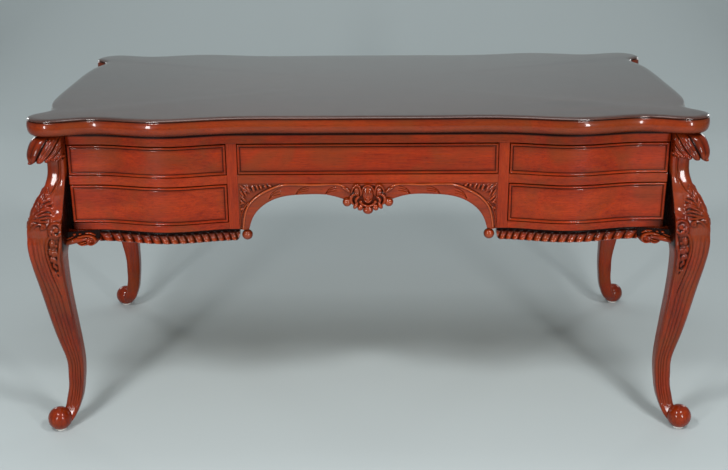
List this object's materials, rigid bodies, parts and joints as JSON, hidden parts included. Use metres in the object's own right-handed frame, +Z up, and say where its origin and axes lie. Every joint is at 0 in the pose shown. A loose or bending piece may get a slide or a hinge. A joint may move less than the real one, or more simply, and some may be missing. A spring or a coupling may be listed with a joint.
{
  "type": "executive desk",
  "caption": "Serpentine executive desk on cabriole legs with ball feet, leaf capitals, an arched carved apron over the kneehole and beaded sliding drawers.",
  "frame": {"origin": "centre of the base of the overall box, on the floor", "axes": "+X along the desk to the sitter's right, +Y from the drawer fronts to the back, +Z up"},
  "size_m": [1.5794, 0.8494, 0.78],
  "materials": {
    "mahogany": "polished, red-brown stain under gloss lacquer",
    "carved_mahogany": "carved, gloss lacquer with dark glaze in the hollows",
    "drawer_lining": "planed, plain satin",
    "nylon_glide": "moulded, matt white",
    "steel_screw": "plain zinc-plated"
  },
  "bodies": {
    "desk": {"centre_back_panel": "mahogany", "centre_rail": "mahogany", "desk_top": "mahogany", "drawer_kickers": "drawer_lining", "drawer_runners": "drawer_lining", "drawer_stops": "drawer_lining", "foot_glides": "nylon_glide", "front_apron": "carved_mahogany", "front_cartouche": "carved_mahogany", "front_left_capital": "carved_mahogany", "front_left_gadroon": "carved_mahogany", "front_left_knee_brackets": "carved_mahogany", "front_left_leg": "carved_mahogany", "front_right_capital": "carved_mahogany", "front_right_gadroon": "carved_mahogany", "front_right_knee_brackets": "carved_mahogany", "front_right_leg": "carved_mahogany", "front_top_rail": "mahogany", "left_back_panel": "mahogany", "left_bottom_rail": "mahogany", "left_divider_rail": "mahogany", "left_partition": "mahogany", "left_side_gadroon": "carved_mahogany", "left_side_panel": "mahogany", "rear_apron": "carved_mahogany", "rear_left_capital": "carved_mahogany", "rear_left_gadroon": "carved_mahogany", "rear_left_knee_brackets": "carved_mahogany", "rear_left_leg": "carved_mahogany", "rear_right_capital": "carved_mahogany", "rear_right_gadroon": "carved_mahogany", "rear_right_knee_brackets": "carved_mahogany", "rear_right_leg": "carved_mahogany", "right_back_panel": "mahogany", "right_bottom_rail": "mahogany", "right_divider_rail": "mahogany", "right_partition": "mahogany", "right_side_gadroon": "carved_mahogany", "right_side_panel": "mahogany", "top_screws": "steel_screw"},
    "centre_drawer": {"centre_drawer_back": "drawer_lining", "centre_drawer_bottom": "drawer_lining", "centre_drawer_front": "mahogany", "centre_drawer_sides": "drawer_lining"},
    "left_upper_drawer": {"left_upper_drawer_back": "drawer_lining", "left_upper_drawer_bottom": "drawer_lining", "left_upper_drawer_front": "mahogany", "left_upper_drawer_sides": "drawer_lining"},
    "left_lower_drawer": {"left_lower_drawer_back": "drawer_lining", "left_lower_drawer_bottom": "drawer_lining", "left_lower_drawer_front": "mahogany", "left_lower_drawer_sides": "drawer_lining"},
    "right_upper_drawer": {"right_upper_drawer_back": "drawer_lining", "right_upper_drawer_bottom": "drawer_lining", "right_upper_drawer_front": "mahogany", "right_upper_drawer_sides": "drawer_lining"},
    "right_lower_drawer": {"right_lower_drawer_back": "drawer_lining", "right_lower_drawer_bottom": "drawer_lining", "right_lower_drawer_front": "mahogany", "right_lower_drawer_sides": "drawer_lining"}
  },
  "joints": [
    {"name": "centre_drawer_slide", "type": "slide", "parent": "desk", "child": "centre_drawer", "axis": [0, -1, 0], "range_m": [0, 0.36]},
    {"name": "left_upper_drawer_slide", "type": "slide", "parent": "desk", "child": "left_upper_drawer", "axis": [0, -1, 0], "range_m": [0, 0.36]},
    {"name": "left_lower_drawer_slide", "type": "slide", "parent": "desk", "child": "left_lower_drawer", "axis": [0, -1, 0], "range_m": [0, 0.36]},
    {"name": "right_upper_drawer_slide", "type": "slide", "parent": "desk", "child": "right_upper_drawer", "axis": [0, -1, 0], "range_m": [0, 0.36]},
    {"name": "right_lower_drawer_slide", "type": "slide", "parent": "desk", "child": "right_lower_drawer", "axis": [0, -1, 0], "range_m": [0, 0.36]}
  ]
}
